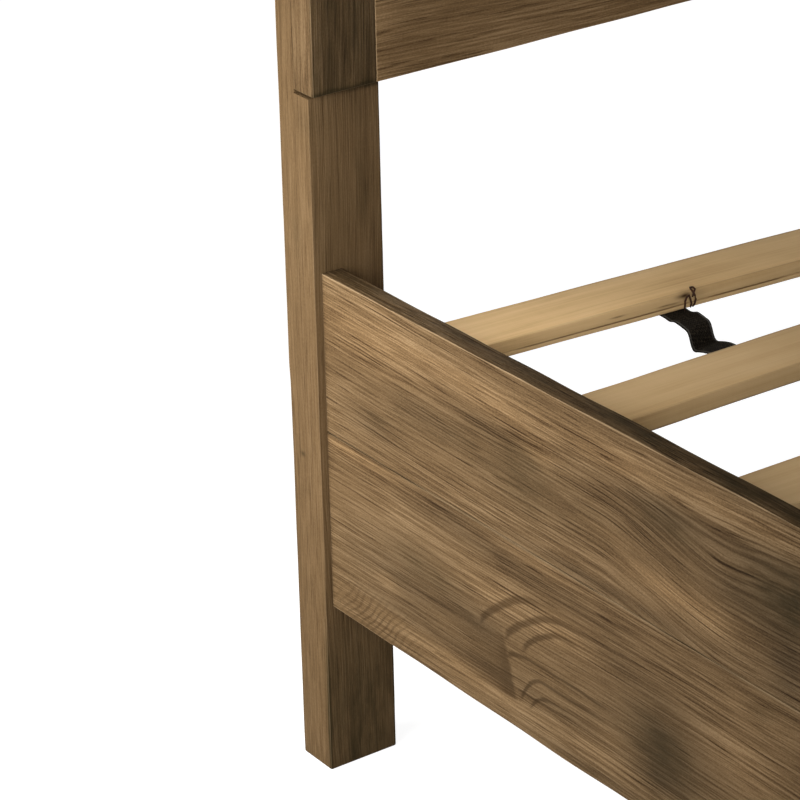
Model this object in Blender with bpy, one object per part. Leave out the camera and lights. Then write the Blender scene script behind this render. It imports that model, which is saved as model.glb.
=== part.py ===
"""Slatted wooden bed frame for a queen mattress, in metres, +Z up.

X runs across the bed, +Y towards the head. The origin is on the floor under the middle of the frame.
Four legs carry a boarded headboard, two side rails and a low foot rail. A roll of slats, tied by two
webbing straps, lies on ledges inside the rails and on a centre beam with three levelling feet.
"""
import math

import bpy
from mathutils import Vector

# Mattress and the room left around it
MATTRESS_WIDTH = 1.524
SIDE_PLAY = 0.008
RAIL_LENGTH = 2.056

# Legs and side rails
LEG_WIDTH = 0.0635
LEG_DEPTH = 0.038
HEAD_SHOULDER = 0.565
FOOT_LEG_HEIGHT = 0.4365
RAIL_THICK = 0.018
RAIL_INSET = 0.0067
RAIL_BOTTOM = 0.1465
RAIL_HEIGHT = 0.280
RAIL_SEAM = 0.535

# Headboard
BOARD_THICK = 0.026
BOARD_PROUD = 0.0075
STILE_WIDTH = 0.0564
PANEL_BOTTOM = 0.5676
HEADBOARD_TOP = 1.200
CAP_THICK = 0.024
CAP_NOSE = 0.006
PLANK_COUNT = 4
BATTEN_WIDTH = 0.060
BATTEN_X = 0.280

# Slats, straps and what they lie on
SLAT_COUNT = 12
SLAT_LENGTH = 1.532
SLAT_WIDTH = 0.0545
SLAT_THICK = 0.014
SLAT_TOP = 0.383
SLAT_PITCH = 0.173
SLACK_PITCH = 0.169
SLACK_GAPS = 2
FIRST_SLAT_GAP = 0.044
FIRST_SLAT_YAW = -4.5
SLACK_SLAT_YAW = -0.8
STRAP_WIDTH = 0.025
STRAP_THICK = 0.0015
STRAP_X = 0.552
LEDGE_WIDTH = 0.025
LEDGE_HEIGHT = 0.038
BEAM_WIDTH = 0.038
BEAM_HEIGHT = 0.060
BEAM_HEAD_Y = 0.955
CENTRE_LEG_WIDTH = 0.038
CENTRE_LEG_Y = (-0.62, 0.12, 0.86)

# Levelling feet, with an M8 stem
PAD_RADIUS = 0.019
PAD_HEIGHT = 0.009
STEM_RADIUS = 0.004
STEM_HEX = 0.013
STEM_HEX_HEIGHT = 0.005
STEM_TOP = 0.060
CENTRE_LEG_BOTTOM = 0.024
BORE_ROOM = 0.010

# Steel brackets and bolts
STEEL_THICK = 0.003
BRACKET_WIDTH = 0.035
BRACKET_ARM = 0.060
BRACKET_BOTTOM = 0.190
BRACKET_TOP = 0.325
BOLT_HEIGHTS = (0.225, 0.290)
BOLT_RADIUS = 0.004
BOLT_LENGTH = 0.029
BOLT_HEX = 0.013
BOLT_HEAD = 0.0053
HANGER_DEPTH = 0.045
HANGER_PLATE = 0.090

GAP = 0.0003

HALF_WIDTH = MATTRESS_WIDTH / 2 + SIDE_PLAY + RAIL_THICK + RAIL_INSET
RAIL_OUTER = HALF_WIDTH - RAIL_INSET
RAIL_INNER = RAIL_OUTER - RAIL_THICK
LEG_FACE_Y = RAIL_LENGTH / 2
END_Y = LEG_FACE_Y + LEG_DEPTH
RAIL_TOP = RAIL_BOTTOM + RAIL_HEIGHT
BOARD_FRONT_Y = LEG_FACE_Y - BOARD_PROUD
BOARD_BACK_Y = BOARD_FRONT_Y + BOARD_THICK
TONGUE_Y = BOARD_BACK_Y + GAP
CAP_BOTTOM = HEADBOARD_TOP - CAP_THICK
SLAT_BOTTOM = SLAT_TOP - SLAT_THICK
LEDGE_TOP = SLAT_BOTTOM - GAP
BEAM_BOTTOM = LEDGE_TOP - BEAM_HEIGHT
FOOT_BOARD_OUTER = -END_Y + RAIL_INSET
FOOT_BOARD_INNER = FOOT_BOARD_OUTER + RAIL_THICK
SIDES = (("left", -1), ("right", 1))
ENDS = (("head", 1), ("foot", -1))


def clear_scene():
    for old in list(bpy.data.objects):
        bpy.data.objects.remove(old, do_unlink=True)


def make_material(name, colour, roughness, metallic=0.0):
    material = bpy.data.materials.new(name)
    material.use_nodes = True
    shader = material.node_tree.nodes["Principled BSDF"]
    shader.inputs["Base Color"].default_value = (*colour, 1.0)
    shader.inputs["Roughness"].default_value = roughness
    shader.inputs["Metallic"].default_value = metallic
    return material


def add_mesh_object(name, vertices, faces, material=None):
    mesh = bpy.data.meshes.new(name)
    mesh.from_pydata(vertices, [], faces)
    mesh.validate()
    if material is not None:
        mesh.materials.append(material)
    piece = bpy.data.objects.new(name, mesh)
    bpy.context.scene.collection.objects.link(piece)
    return piece


def ease_edges(piece, width, segments=2):
    bevel = piece.modifiers.new("eased_edges", "BEVEL")
    bevel.width = width
    bevel.segments = segments
    bevel.limit_method = "ANGLE"
    bevel.angle_limit = math.radians(40)


def add_prism(name, outline, start, end, axis, material=None):
    """Extrudes a closed outline of 2-D points from start to end along axis "X", "Y" or "Z".

    The outline runs anticlockwise when it is seen from the axis's positive end, in the order
    (Y, Z), (Z, X) or (X, Y).
    """
    order = {"X": (2, 0, 1), "Y": (1, 2, 0), "Z": (0, 1, 2)}[axis]
    vertices = []
    for level in (start, end):
        for first, second in outline:
            triple = (first, second, level)
            vertices.append(tuple(triple[index] for index in order))
    count = len(outline)
    faces = [tuple(reversed(range(count))), tuple(range(count, 2 * count))]
    for index in range(count):
        following = (index + 1) % count
        faces.append((index, following, count + following, count + index))
    return add_mesh_object(name, vertices, faces, material)


def add_board(name, low, high, material, edge=0.0015, segments=2):
    outline = ((low[0], low[1]), (high[0], low[1]), (high[0], high[1]), (low[0], high[1]))
    piece = add_prism(name, outline, low[2], high[2], "Z", material)
    if edge:
        ease_edges(piece, edge, segments)
    return piece


def add_round(name, centre, radius, start, end, axis, material=None, sides=32):
    """A round bar along axis. centre holds the other two coordinates, in add_prism's order."""
    outline = []
    for index in range(sides):
        angle = 2 * math.pi * index / sides
        outline.append((centre[0] + radius * math.cos(angle), centre[1] + radius * math.sin(angle)))
    piece = add_prism(name, outline, start, end, axis, material)
    piece.data.shade_smooth()
    piece.data.set_sharp_from_angle(angle=math.radians(40))
    return piece


def add_hex(name, centre, across_flats, start, end, axis, material=None):
    corner_radius = across_flats / math.sqrt(3)
    outline = []
    for index in range(6):
        angle = math.pi / 6 + index * math.pi / 3
        outline.append((centre[0] + corner_radius * math.cos(angle), centre[1] + corner_radius * math.sin(angle)))
    return add_prism(name, outline, start, end, axis, material)


def combine(piece, tool, operation):
    tool.hide_render = True
    tool.display_type = "WIRE"
    boolean = piece.modifiers.new(tool.name, "BOOLEAN")
    boolean.operation = operation
    boolean.object = tool
    boolean.solver = "EXACT"


def span(side, inner, outer):
    """The low and high X of a piece between two distances from the middle, on one side."""
    return (side * outer, side * inner) if side < 0 else (side * inner, side * outer)


def bolt_x(side):
    return side * (RAIL_INNER - GAP - BRACKET_WIDTH / 2)


def drill_leg(leg, label, side, end):
    for number, height in enumerate(BOLT_HEIGHTS, 1):
        mouth = end * (LEG_FACE_Y - GAP)
        bottom = end * (LEG_FACE_Y + BOLT_LENGTH)
        bore = add_round(f"cutter_bolt_{label}_{number}", (height, bolt_x(side)), BOLT_RADIUS + GAP,
                         min(mouth, bottom), max(mouth, bottom), "Y")
        combine(leg, bore, "DIFFERENCE")


def build_head_legs(wood):
    """Each head leg is notched at the shoulder: its back half runs up behind the headboard stile."""
    for label, side in SIDES:
        outline = (
            (LEG_FACE_Y, 0.0),
            (END_Y, 0.0),
            (END_Y, CAP_BOTTOM - GAP),
            (TONGUE_Y, CAP_BOTTOM - GAP),
            (TONGUE_Y, HEAD_SHOULDER),
            (LEG_FACE_Y, HEAD_SHOULDER),
        )
        low, high = span(side, HALF_WIDTH - LEG_WIDTH, HALF_WIDTH)
        leg = add_prism(f"head_leg_{label}", outline, low, high, "X", wood)
        ease_edges(leg, 0.0025, 3)
        drill_leg(leg, f"head_{label}", side, 1)


def build_foot_legs(wood):
    for label, side in SIDES:
        low, high = span(side, HALF_WIDTH - LEG_WIDTH, HALF_WIDTH)
        leg = add_board(f"foot_leg_{label}", (low, -END_Y, 0.0), (high, -LEG_FACE_Y, FOOT_LEG_HEIGHT), wood,
                        0.0025, 3)
        drill_leg(leg, f"foot_{label}", side, -1)


def build_headboard(wood):
    for label, side in SIDES:
        low, high = span(side, HALF_WIDTH - STILE_WIDTH, HALF_WIDTH)
        add_board(f"headboard_stile_{label}", (low, BOARD_FRONT_Y, PANEL_BOTTOM),
                  (high, BOARD_BACK_Y, CAP_BOTTOM - GAP), wood, 0.002)
    plank_end = HALF_WIDTH - STILE_WIDTH - GAP
    pitch = (CAP_BOTTOM - PANEL_BOTTOM) / PLANK_COUNT
    for number in range(PLANK_COUNT):
        bottom = PANEL_BOTTOM + number * pitch
        add_board(f"headboard_plank_{number + 1}", (-plank_end, BOARD_FRONT_Y, bottom),
                  (plank_end, BOARD_BACK_Y, bottom + pitch - GAP), wood, 0.0012)
    for label, side in SIDES:
        middle = side * BATTEN_X
        add_board(f"headboard_batten_{label}", (middle - BATTEN_WIDTH / 2, TONGUE_Y, PANEL_BOTTOM + 0.02),
                  (middle + BATTEN_WIDTH / 2, END_Y, CAP_BOTTOM - GAP), wood)
    add_board("headboard_cap", (-HALF_WIDTH, BOARD_FRONT_Y - CAP_NOSE, CAP_BOTTOM),
              (HALF_WIDTH, END_Y, HEADBOARD_TOP), wood, 0.003, 3)


def build_rails(wood):
    """Every rail is two boards, glued edge to edge."""
    seam = RAIL_BOTTOM + RAIL_SEAM * RAIL_HEIGHT
    courses = (("lower", RAIL_BOTTOM, seam - GAP), ("upper", seam, RAIL_TOP))
    for course, bottom, top in courses:
        for label, side in SIDES:
            low, high = span(side, RAIL_INNER, RAIL_OUTER)
            add_board(f"side_rail_{label}_{course}", (low, -LEG_FACE_Y + GAP, bottom),
                      (high, LEG_FACE_Y - GAP, top), wood, 0.0006 if course == "lower" else 0.002)
        reach = HALF_WIDTH - LEG_WIDTH - GAP
        add_board(f"foot_board_{course}", (-reach, FOOT_BOARD_OUTER, bottom),
                  (reach, FOOT_BOARD_INNER, top), wood, 0.0006 if course == "lower" else 0.002)


def build_ledges(wood):
    reach = LEG_FACE_Y - 0.03
    for label, side in SIDES:
        low, high = span(side, RAIL_INNER - GAP - LEDGE_WIDTH, RAIL_INNER - GAP)
        add_board(f"slat_ledge_{label}", (low, -reach, LEDGE_TOP - LEDGE_HEIGHT), (high, reach, LEDGE_TOP), wood)


def slat_place(number):
    """The far edge's Y over the left ledge, and the slat's turn from square, for one slat.

    The strap is slack at the head, so the first slats lie a little closer and askew.
    """
    slack = min(number, SLACK_GAPS)
    far_y = LEG_FACE_Y - FIRST_SLAT_GAP - slack * SLACK_PITCH - (number - slack) * SLAT_PITCH
    if number == 0:
        turn = FIRST_SLAT_YAW
    elif number <= SLACK_GAPS:
        turn = SLACK_SLAT_YAW
    else:
        turn = 0.35 * math.sin(2.1 * number)
    return far_y, math.radians(turn)


def build_slats(wood):
    half_length = SLAT_LENGTH / 2
    for number in range(SLAT_COUNT):
        far_y, turn = slat_place(number)
        slat = add_board(f"slat_{number + 1:02d}", (-half_length, -SLAT_WIDTH, -SLAT_THICK),
                         (half_length, 0.0, 0.0), wood, 0.0012)
        middle_y = far_y + math.tan(turn) * (RAIL_INNER - GAP)
        slat.location = Vector((0.0, middle_y, SLAT_TOP))
        slat.rotation_euler.z = turn


def build_straps(webbing):
    """Each strap runs under the slats, from the first to the last."""
    first_y, first_turn = slat_place(0)
    last_y, _ = slat_place(SLAT_COUNT - 1)
    for label, side in SIDES:
        head_y = first_y + math.tan(first_turn) * (RAIL_INNER + side * STRAP_X) - 0.010
        low = (side * STRAP_X - STRAP_WIDTH / 2, last_y - SLAT_WIDTH + 0.006, LEDGE_TOP - STRAP_THICK)
        high = (side * STRAP_X + STRAP_WIDTH / 2, head_y, LEDGE_TOP)
        add_board(f"slat_strap_{label}", low, high, webbing, 0)


def build_centre_support(wood, steel):
    foot_end = FOOT_BOARD_INNER + STEEL_THICK + 2 * GAP
    half = BEAM_WIDTH / 2
    add_board("centre_beam", (-half, foot_end, BEAM_BOTTOM), (half, BEAM_HEAD_Y, LEDGE_TOP), wood)
    build_hanger(steel)
    for number, middle_y in enumerate(CENTRE_LEG_Y, 1):
        half = CENTRE_LEG_WIDTH / 2
        leg = add_board(f"centre_leg_{number}", (-half, middle_y - half, CENTRE_LEG_BOTTOM),
                        (half, middle_y + half, BEAM_BOTTOM - GAP), wood)
        bore = add_round(f"cutter_stem_{number}", (0.0, middle_y), STEM_RADIUS + GAP,
                         CENTRE_LEG_BOTTOM - GAP, STEM_TOP + BORE_ROOM, "Z")
        combine(leg, bore, "DIFFERENCE")


def build_hanger(steel):
    """A steel saddle on the foot board that the centre beam drops into."""
    inner = BEAM_WIDTH / 2 + GAP
    outer = inner + STEEL_THICK
    floor = BEAM_BOTTOM - GAP
    top = LEDGE_TOP - 0.010
    cradle = ((floor - STEEL_THICK, -outer), (top, -outer), (top, -inner), (floor, -inner),
              (floor, inner), (top, inner), (top, outer), (floor - STEEL_THICK, outer))
    start = FOOT_BOARD_INNER + GAP
    hanger = add_prism("beam_hanger", tuple(reversed(cradle)), start, start + HANGER_DEPTH, "Y", steel)
    plate = add_board("union_hanger_plate", (-HANGER_PLATE / 2, start, floor - STEEL_THICK),
                      (HANGER_PLATE / 2, start + STEEL_THICK, top), steel, 0)
    combine(hanger, plate, "UNION")


def build_level_feet(plastic, steel):
    """A plastic pad turns on the foot of each threaded stem."""
    for number, middle_y in enumerate(CENTRE_LEG_Y, 1):
        pad = add_round(f"level_pad_{number}", (0.0, middle_y), PAD_RADIUS, 0.0, PAD_HEIGHT, "Z", plastic, 40)
        ease_edges(pad, 0.0015)
        hex_top = PAD_HEIGHT + GAP + STEM_HEX_HEIGHT
        stem = add_hex(f"level_stem_{number}", (0.0, middle_y), STEM_HEX, PAD_HEIGHT + GAP, hex_top, "Z", steel)
        rod = add_round(f"union_stem_{number}", (0.0, middle_y), STEM_RADIUS, hex_top - 0.002, STEM_TOP, "Z")
        combine(stem, rod, "UNION")


def build_brackets(steel):
    """An angle bracket holds each rail end to its leg, inside the frame, with two bolts into the leg."""
    for end_label, end in ENDS:
        for side_label, side in SIDES:
            label = f"{end_label}_{side_label}"
            face_y = end * (LEG_FACE_Y - GAP)
            face_x = side * (RAIL_INNER - GAP)
            outline = (
                (face_x, face_y),
                (face_x - side * BRACKET_WIDTH, face_y),
                (face_x - side * BRACKET_WIDTH, face_y - end * STEEL_THICK),
                (face_x - side * STEEL_THICK, face_y - end * STEEL_THICK),
                (face_x - side * STEEL_THICK, face_y - end * BRACKET_ARM),
                (face_x, face_y - end * BRACKET_ARM),
            )
            if side * end < 0:
                outline = tuple(reversed(outline))
            bracket = add_prism(f"corner_bracket_{label}", outline, BRACKET_BOTTOM, BRACKET_TOP, "Z", steel)
            for number, height in enumerate(BOLT_HEIGHTS, 1):
                seat = face_y - end * (STEEL_THICK + GAP)
                add_bolt(f"{label}_{number}", bolt_x(side), height, seat, end, steel)
                hole = add_round(f"cutter_bracket_{label}_{number}", (height, bolt_x(side)),
                                 BOLT_RADIUS + GAP, face_y - 0.01, face_y + 0.01, "Y")
                combine(bracket, hole, "DIFFERENCE")


def add_bolt(label, middle_x, height, seat, end, steel):
    head_end = seat - end * BOLT_HEAD
    tip = seat + end * BOLT_LENGTH
    bolt = add_hex(f"bracket_bolt_{label}", (height, middle_x), BOLT_HEX, min(seat, head_end),
                   max(seat, head_end), "Y", steel)
    inside = seat - end * BOLT_HEAD / 2
    shank = add_round(f"union_bolt_{label}", (height, middle_x), BOLT_RADIUS, min(inside, tip),
                      max(inside, tip), "Y")
    combine(bolt, shank, "UNION")


def build():
    clear_scene()
    oak = make_material("brushed_oak", (0.235, 0.165, 0.092), 0.62)
    pine = make_material("slat_pine", (0.43, 0.30, 0.155), 0.7)
    steel = make_material("zinc_steel", (0.46, 0.45, 0.42), 0.38, 1.0)
    webbing = make_material("black_webbing", (0.012, 0.010, 0.009), 0.85)
    plastic = make_material("pad_plastic", (0.02, 0.02, 0.02), 0.5)
    build_head_legs(oak)
    build_foot_legs(oak)
    build_headboard(oak)
    build_rails(oak)
    build_ledges(pine)
    build_slats(pine)
    build_straps(webbing)
    build_centre_support(pine, steel)
    build_level_feet(plastic, steel)
    build_brackets(steel)


build()
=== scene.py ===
"""The looks of the slatted bed frame: brushed oak boards, pine slats, webbing straps and steel fittings.

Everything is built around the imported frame. Boards are lofted along their grain, with eased and slightly
worn edges, and carry their own wood coordinates, so each board has its own grain on all six faces.
"""
import math
import random

import bpy
from mathutils import Matrix, Vector, noise


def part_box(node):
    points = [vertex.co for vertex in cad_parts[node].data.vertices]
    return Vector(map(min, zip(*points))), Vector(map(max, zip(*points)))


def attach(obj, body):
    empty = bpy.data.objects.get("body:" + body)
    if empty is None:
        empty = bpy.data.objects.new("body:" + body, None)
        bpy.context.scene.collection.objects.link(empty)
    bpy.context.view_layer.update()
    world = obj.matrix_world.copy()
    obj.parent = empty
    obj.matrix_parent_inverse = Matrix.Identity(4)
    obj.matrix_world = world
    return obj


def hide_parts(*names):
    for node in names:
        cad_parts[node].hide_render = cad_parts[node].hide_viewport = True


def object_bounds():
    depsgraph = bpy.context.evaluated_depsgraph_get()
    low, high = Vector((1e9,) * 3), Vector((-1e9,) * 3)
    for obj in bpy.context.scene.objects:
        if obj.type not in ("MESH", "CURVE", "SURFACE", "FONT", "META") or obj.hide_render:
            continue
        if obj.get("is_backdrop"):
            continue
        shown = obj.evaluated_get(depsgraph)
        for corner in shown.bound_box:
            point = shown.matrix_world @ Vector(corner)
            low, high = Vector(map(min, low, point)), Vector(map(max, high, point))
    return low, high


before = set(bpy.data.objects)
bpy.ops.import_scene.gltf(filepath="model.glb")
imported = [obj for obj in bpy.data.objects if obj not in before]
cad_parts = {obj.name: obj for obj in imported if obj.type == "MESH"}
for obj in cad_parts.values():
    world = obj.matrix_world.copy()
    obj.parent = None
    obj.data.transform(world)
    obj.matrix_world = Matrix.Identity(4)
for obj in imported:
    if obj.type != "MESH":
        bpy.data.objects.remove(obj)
cad_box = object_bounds()

STILE_GAP = 0.0026
FIT_GAP = 0.0003
POST_STEP_HEIGHT = 0.333
POST_STEP = 0.001
RAIL_FACE_X = -0.788
POST_FACE_X = -0.7947
POST_MIDDLE_X = -0.763
FACE_DEPTH = 0.05
MM = 0.001
SLATS = [f"slat_{number:02d}" for number in range(1, 13)]
# What is left of a spot's strength at its given size: about 1/e.
SPOT_EDGE = 0.3679


# -------- shader graphs


class Graph:
    """A material's node tree, with one short call for each kind of node."""

    def __init__(self, name):
        self.material = bpy.data.materials.new(name)
        self.material.use_nodes = True
        self.tree = self.material.node_tree
        self.shader = self.tree.nodes["Principled BSDF"]

    def feed(self, socket, value):
        if isinstance(value, bpy.types.NodeSocket):
            self.tree.links.new(value, socket)
        else:
            socket.default_value = (*value, 1) if socket.type == "RGBA" else value

    def node(self, kind, **inputs):
        """Adds a node and feeds its inputs, named with _ for a space."""
        node = self.tree.nodes.new("ShaderNode" + kind)
        for name, value in inputs.items():
            self.feed(node.inputs[name.replace("_", " ")], value)
        return node

    def math(self, operation, first, second=0):
        node = self.node("Math")
        node.operation = operation
        self.feed(node.inputs[0], first)
        self.feed(node.inputs[1], second)
        return node.outputs[0]

    def add(self, first, *others):
        for other in others:
            first = self.math("ADD", first, other)
        return first

    def less(self, first, second):
        return self.math("SUBTRACT", first, second)

    def times(self, first, *others):
        for other in others:
            first = self.math("MULTIPLY", first, other)
        return first

    def weigh(self, *parts):
        """The sum of (value, weight) pairs."""
        return self.add(*[self.times(value, weight) for value, weight in parts])

    def attribute(self, name):
        node = self.node("Attribute")
        node.attribute_name = name
        return node.outputs["Vector"]

    def split(self, vector):
        return self.node("SeparateXYZ", Vector=vector).outputs

    def join(self, x, y, z):
        return self.node("CombineXYZ", X=x, Y=y, Z=z).outputs[0]

    def stretch(self, vector, scale, shift=(0, 0, 0)):
        return self.node("Mapping", Vector=vector, Scale=scale, Location=shift).outputs[0]

    def noise(self, vector, detail=2, roughness=0.5, distortion=0):
        return self.node("TexNoise", Vector=vector, Scale=1, Detail=detail, Roughness=roughness,
                         Distortion=distortion).outputs["Fac"]

    def cloud(self, vector, along, across, detail=2, roughness=0.5, distortion=0, shift=(0, 0, 0)):
        """Noise with its changes per metre along and across the grain."""
        return self.noise(self.stretch(vector, (along, across, across), shift), detail, roughness, distortion)

    def fit(self, value, low, high, to_low=0, to_high=1, smooth=False):
        node = self.node("MapRange", Value=value, From_Min=low, From_Max=high, To_Min=to_low, To_Max=to_high)
        node.interpolation_type = "SMOOTHSTEP" if smooth else "LINEAR"
        return node.outputs["Result"]

    def fade(self, value, zero_at, full_at, full=1):
        """0 where the value is at zero_at, rising smoothly to full where it is at full_at."""
        return self.fit(value, zero_at, full_at, 0, full, smooth=True)

    def mix(self, factor, first, second, blend="MIX"):
        node = self.node("Mix")
        node.data_type = "RGBA"
        node.blend_type = blend
        node.clamp_factor = True
        self.feed(node.inputs["Factor"], factor)
        self.feed(node.inputs[6], first)
        self.feed(node.inputs[7], second)
        return node.outputs[2]

    def dim(self, colour, factor):
        """The colour times one factor."""
        return self.mix(1, colour, self.join(factor, factor, factor), "MULTIPLY")

    def ramp(self, value, stops):
        node = self.node("ValToRGB", Fac=value)
        elements = node.color_ramp.elements
        while len(elements) < len(stops):
            elements.new(0.5)
        for element, (place, colour) in zip(elements, stops):
            element.position = place
            element.color = (*colour, 1)
        return node.outputs["Color"]

    def bump(self, height, strength, distance):
        return self.node("Bump", Height=height, Strength=strength, Distance=distance).outputs["Normal"]

    def finish(self, colour, roughness, normal=None, metallic=0, specular=0.5):
        inputs = self.shader.inputs
        self.feed(inputs["Base Color"], colour)
        self.feed(inputs["Roughness"], roughness)
        if normal is not None:
            self.feed(inputs["Normal"], normal)
        inputs["Metallic"].default_value = metallic
        inputs["Specular IOR Level"].default_value = specular
        return self.material

    def spot(self, position, centre, size):
        """A soft round mark: 1 at its centre, SPOT_EDGE at its size, and less and less beyond."""
        scale = [1 / extent for extent in size]
        offset = self.stretch(position, scale, [-middle * factor for middle, factor in zip(centre, scale)])
        square = self.node("VectorMath")
        square.operation = "DOT_PRODUCT"
        self.feed(square.inputs[0], offset)
        self.feed(square.inputs[1], offset)
        return self.math("POWER", SPOT_EDGE, square.outputs["Value"])


# -------- grain and oak

OAK_DARK = (0.024, 0.0115, 0.004)
OAK_MIDDLE = (0.106, 0.064, 0.0288)
OAK_LIGHT = (0.207, 0.137, 0.072)
# Dark colour for smudges and for painted shade alike.
OAK_SMUDGE_AND_SHADE = (0.021, 0.015, 0.0058)
OAK_FIGURE = (0.036, 0.0195, 0.0072)
OAK_WORN = (0.29, 0.2, 0.11)

# The grain's sideways waves: (changes per metre along, changes per metre across, amount).
OAK_WAVES = ((1.5, 7, 0.034), (6, 22, 0.0045), (38, 75, 0.0008))
PINE_WAVES = ((1.2, 6, 0.05), (5, 18, 0.006))


def centred_noise(graph, grain, along, across, amount, detail=1):
    """Noise round zero, with its changes per metre along and across the grain."""
    return graph.times(graph.less(graph.cloud(grain, along, across, detail), 0.5), amount)


def grain_fibres(graph, grain, waves, bend=None):
    """The place along, across and through the grain, once waves and a bend have moved it sideways."""
    u, v, w = graph.split(grain)[:3]
    across = graph.add(v, *[centred_noise(graph, grain, *wave) for wave in waves])
    if bend is not None:
        across = graph.add(across, bend)
    return u, across, w


def streaks(graph, fibres, along, fineness, detail, low, high):
    """Noise drawn out along the fibres: 0 below low and 1 above high."""
    u, across, w = fibres
    vector = graph.join(graph.times(u, along), graph.times(across, fineness), graph.times(w, fineness))
    return graph.fit(graph.noise(vector, detail, 0.6), low, high)


def smudge_and_shade_field(graph, place, grain, smudges_and_shade):
    """Sums ragged dark marks, smudges and painted shade, each as (centre, size, strength) in bed metres."""
    ragged = graph.fit(graph.cloud(grain, 26, 85, 3, 0.65), 0.25, 0.75, 0.45, 1.25)
    total = 0
    for centre, size, strength in smudges_and_shade:
        total = graph.add(graph.times(graph.spot(place, centre, size), strength, ragged), total)
    return total


def shade_field(graph, place, grain, shades):
    """The rail face's lighter and darker parts: 1 plus the sum of its shades."""
    ragged = graph.fit(graph.cloud(grain, 14, 60, 3, 0.6), 0.25, 0.75, 0.55, 1.45)
    total = 0
    for centre, size, gain in face_marks(shades):
        total = graph.add(graph.times(graph.spot(place, centre, size), gain), total)
    return graph.add(graph.times(total, ragged), 1)


def oak_level(graph, grain, light_parts, dark_parts, contrast):
    """How light the stain lies, about 0 to 1: streaks, broad patches and fine dust, centred on 0.52."""
    patches = graph.fit(graph.cloud(grain, 5.5, 15, 4, 0.6, 0.3), 0.28, 0.72)
    dust = graph.cloud(grain, 480, 1000, 1, 0.6)
    light = graph.weigh(*light_parts, (patches, 0.2), (dust, 0.38))
    level = graph.less(light, graph.weigh(*dark_parts))
    return graph.add(graph.times(graph.less(level, 0.535), contrast), 0.52)


def oak_marks(graph, grain, place, colour, smudges_and_shade, shades, figure):
    """Lays blots, a board's own figure, its shades, and smudges and painted shade over its plain colour."""
    blot = graph.cloud(grain, 6, 17, 3, 0.6, 0.3, shift=(3, 5, 1))
    dark = graph.add(graph.fade(blot, 0.6, 0.8, 0.4), smudge_and_shade_field(graph, place, grain, smudges_and_shade))
    if figure is not None:
        colour = graph.mix(figure(graph, place, grain), colour, OAK_FIGURE)
    if shades:
        colour = graph.dim(colour, shade_field(graph, place, grain, shades))
    return graph.mix(graph.math("MINIMUM", dark, 0.88), colour, OAK_SMUDGE_AND_SHADE)


def oak(name, smudges_and_shade=(), shades=(), bend=None, figure=None, brush=1, contrast=1, wear=0.55):
    """Brown-stained oak, wire brushed: fine ridges and cuts along the grain, bands, pores, worn edges.

    smudges are dark marks, some of them painted shade, given as (centre, size, strength) in bed metres.
    shades lighten and darken parts of a board. bend and figure add its own grain: bend moves the grain
    sideways, and figure gives darker strokes.
    A board with shades is worn mostly along the edges of its outer face.
    """
    graph = Graph(name)
    grain = graph.attribute("grain")
    place = graph.attribute("place")
    tone = graph.split(graph.attribute("board"))[0]
    fibres = grain_fibres(graph, grain, OAK_WAVES, bend(graph, place) if bend else None)
    ridges = streaks(graph, fibres, 15, 780, 0, 0.34, 0.66)
    hairs = streaks(graph, fibres, 45, 1400, 1, 0.3, 0.7)
    cuts = streaks(graph, fibres, 7, 460, 1, 0.57, 0.67)
    bands = streaks(graph, fibres, 1.6, 24, 1, 0.28, 0.72)
    pores = streaks(graph, fibres, 26, 800, 0, 0.66, 0.78)
    depth = graph.fit(graph.cloud(grain, 5, 26, shift=(7, 1, 4)), 0.32, 0.68, 0.4, 1.25)
    ridges = graph.add(graph.times(graph.less(ridges, 0.5), depth), 0.5)

    level = oak_level(graph, grain, ((ridges, 0.26), (hairs, 0.2), (bands, 0.07)),
                      ((pores, 0.2), (cuts, 0.17)), contrast)
    colour = graph.ramp(level, ((0.14, OAK_DARK), (0.52, OAK_MIDDLE), (0.92, OAK_LIGHT)))
    colour = oak_marks(graph, grain, place, colour, smudges_and_shade, shades, figure)
    worn = graph.times(edge_wear(graph, grain), wear)
    if shades:
        from_face = graph.less(graph.split(place)[0], RAIL_FACE_X)
        worn = graph.times(worn, graph.fit(from_face, 0.004, 0.01, 1, 0.1))
    colour = graph.dim(graph.mix(worn, colour, OAK_WORN), tone)
    height = graph.less(graph.weigh((ridges, 0.55), (hairs, 0.3)), graph.weigh((pores, 0.8), (cuts, 0.5)))
    normal = graph.bump(height, 0.45 * brush, 0.0009)
    return graph.finish(colour, graph.fit(level, 0.2, 0.9, 0.78, 0.62), normal, specular=0.05)


def edge_wear(graph, grain):
    """1 where a board's edge is rubbed pale, broken up along its length. 'room' is the gap to each face."""
    room_x, room_y, room_z = graph.split(graph.attribute("room"))[:3]
    pair_low = graph.math("MINIMUM", room_y, room_z)
    pair_high = graph.math("MAXIMUM", room_y, room_z)
    to_edge = graph.math("MAXIMUM", pair_low, graph.math("MINIMUM", pair_high, room_x))
    broken = graph.fit(graph.cloud(grain, 24, 30, 2, 0.6), 0.36, 0.6, 0.62, 1)
    return graph.times(graph.fade(to_edge, 0.0008, 0.0003), broken)


UPPER_BEND = 0.021


def upper_rail_bend(graph, place):
    """The rail's top board: the grain sinks by UPPER_BEND as it passes a dark knot, all but its top strip."""
    y, z = graph.split(place)[1:3]
    return graph.times(graph.fade(y, 0.705, 0.56), graph.fade(z, 0.415, 0.355), UPPER_BEND)


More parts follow.
